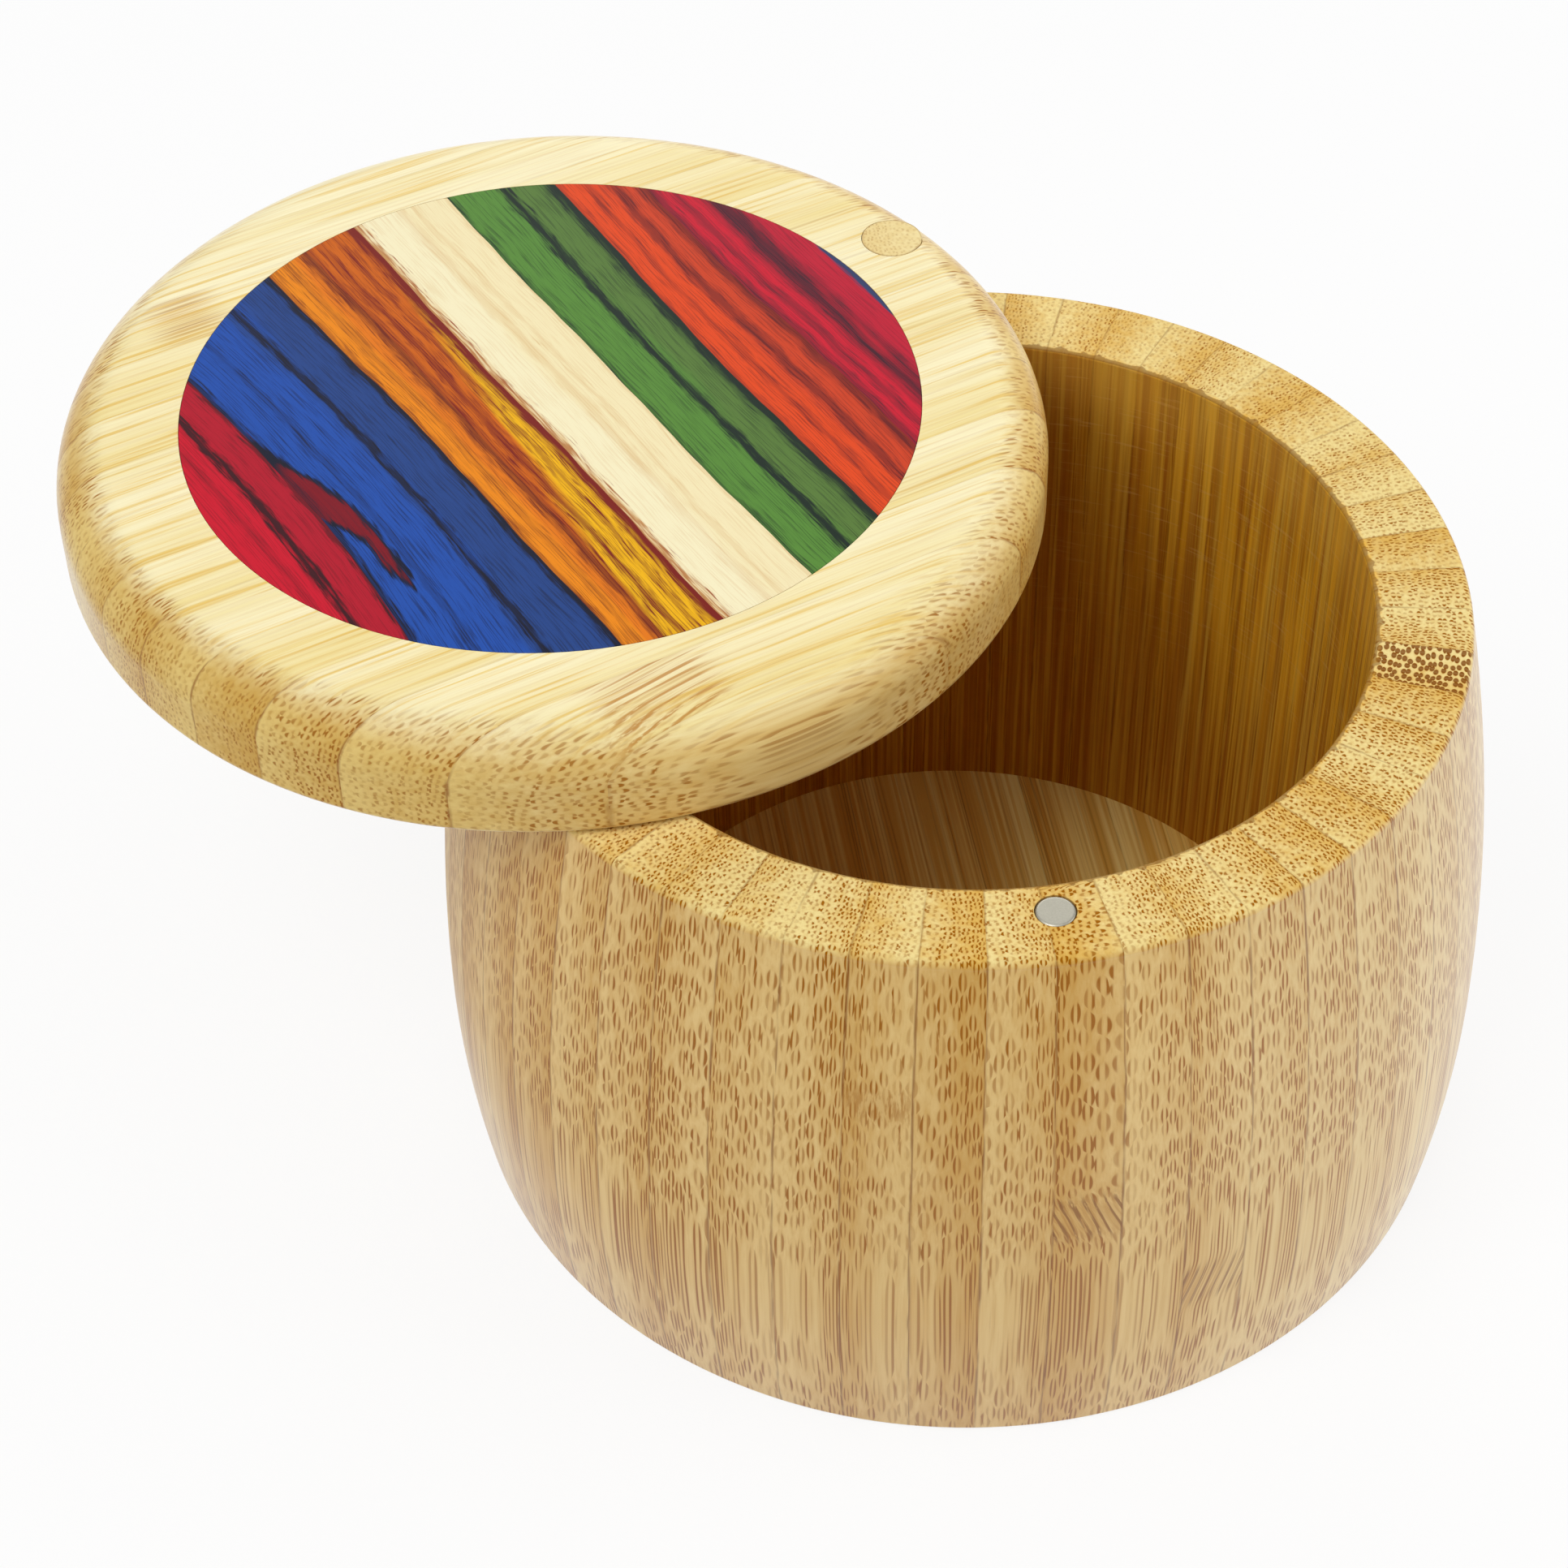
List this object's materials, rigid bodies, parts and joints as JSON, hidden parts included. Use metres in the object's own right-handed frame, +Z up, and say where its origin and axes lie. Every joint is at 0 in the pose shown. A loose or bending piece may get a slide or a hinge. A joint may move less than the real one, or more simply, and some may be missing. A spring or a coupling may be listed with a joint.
{
  "type": "salt box",
  "caption": "Round bamboo salt box: a barrel wall of glued staves with a strip floor, and a thick lid with a striped inlay that swivels on a dowel and is held shut by magnets.",
  "frame": {"origin": "centre of the foot, on the surface that the box stands on", "axes": "+Z up along the axis of the box, +Y from the axis towards the lid's pivot, -Y towards the catch magnet"},
  "size_m": [0.1272, 0.1131, 0.0692],
  "materials": {
    "bamboo_wall": "sanded end-glued bamboo staves, oiled satin",
    "bamboo_floor": "sanded bamboo strips, oiled satin",
    "bamboo_lid": "sanded bamboo strips, oiled satin",
    "bamboo_dowel": "sanded bamboo end grain",
    "inlay_red": "dyed wood strip, satin",
    "inlay_blue": "dyed wood strip, satin",
    "inlay_orange": "dyed wood strip, satin",
    "inlay_gold": "dyed wood strip, satin",
    "inlay_cream": "plain pale wood strip, satin",
    "inlay_green": "dyed wood strip, satin",
    "inlay_vermilion": "dyed wood strip, satin",
    "inlay_crimson": "dyed wood strip, satin",
    "magnet_plating": "bright nickel plating"
  },
  "bodies": {
    "box": {"wall_stave_pair_01": "bamboo_wall", "wall_stave_pair_02": "bamboo_wall", "wall_stave_pair_03": "bamboo_wall", "wall_stave_pair_04": "bamboo_wall", "wall_stave_pair_05": "bamboo_wall", "wall_stave_pair_06": "bamboo_wall", "wall_stave_pair_07": "bamboo_wall", "wall_stave_pair_08": "bamboo_wall", "wall_stave_pair_09": "bamboo_wall", "wall_stave_pair_10": "bamboo_wall", "wall_stave_pair_11": "bamboo_wall", "wall_stave_pair_12": "bamboo_wall", "wall_stave_pair_13": "bamboo_wall", "wall_stave_pair_14": "bamboo_wall", "wall_stave_pair_15": "bamboo_wall", "wall_stave_pair_16": "bamboo_wall", "wall_stave_pair_17": "bamboo_wall", "wall_stave_pair_18": "bamboo_wall", "wall_stave_pair_19": "bamboo_wall", "wall_stave_pair_20": "bamboo_wall", "wall_stave_pair_21": "bamboo_wall", "wall_stave_pair_22": "bamboo_wall", "wall_stave_pair_23": "bamboo_wall", "wall_stave_pair_24": "bamboo_wall", "wall_stave_pair_25": "bamboo_wall", "floor_strip_1": "bamboo_floor", "floor_strip_2": "bamboo_floor", "floor_strip_3": "bamboo_floor", "floor_strip_4": "bamboo_floor", "floor_strip_5": "bamboo_floor", "floor_strip_6": "bamboo_floor", "floor_strip_7": "bamboo_floor", "floor_strip_8": "bamboo_floor", "floor_strip_9": "bamboo_floor", "pivot_dowel": "bamboo_dowel", "rim_magnet": "magnet_plating"},
    "lid": {"lid_strip_01": "bamboo_lid", "lid_strip_02": "bamboo_lid", "lid_strip_03": "bamboo_lid", "lid_strip_04": "bamboo_lid", "lid_strip_05": "bamboo_lid", "lid_strip_06": "bamboo_lid", "lid_strip_07": "bamboo_lid", "lid_strip_08": "bamboo_lid", "lid_strip_09": "bamboo_lid", "lid_strip_10": "bamboo_lid", "lid_strip_11": "bamboo_lid", "lid_strip_12": "bamboo_lid", "lid_strip_13": "bamboo_lid", "lid_strip_14": "bamboo_lid", "inlay_strip_blue": "inlay_blue", "inlay_strip_cream": "inlay_cream", "inlay_strip_crimson": "inlay_crimson", "inlay_strip_gold": "inlay_gold", "inlay_strip_green": "inlay_green", "inlay_strip_orange": "inlay_orange", "inlay_strip_red": "inlay_red", "inlay_strip_vermilion": "inlay_vermilion", "lid_magnet": "magnet_plating"}
  },
  "joints": [
    {"name": "lid_swivel", "type": "hinge", "parent": "box", "child": "lid", "pos_m": [0, 0.039, 0.059], "axis": [0, 0, 1], "range_deg": [-119, 61]}
  ]
}
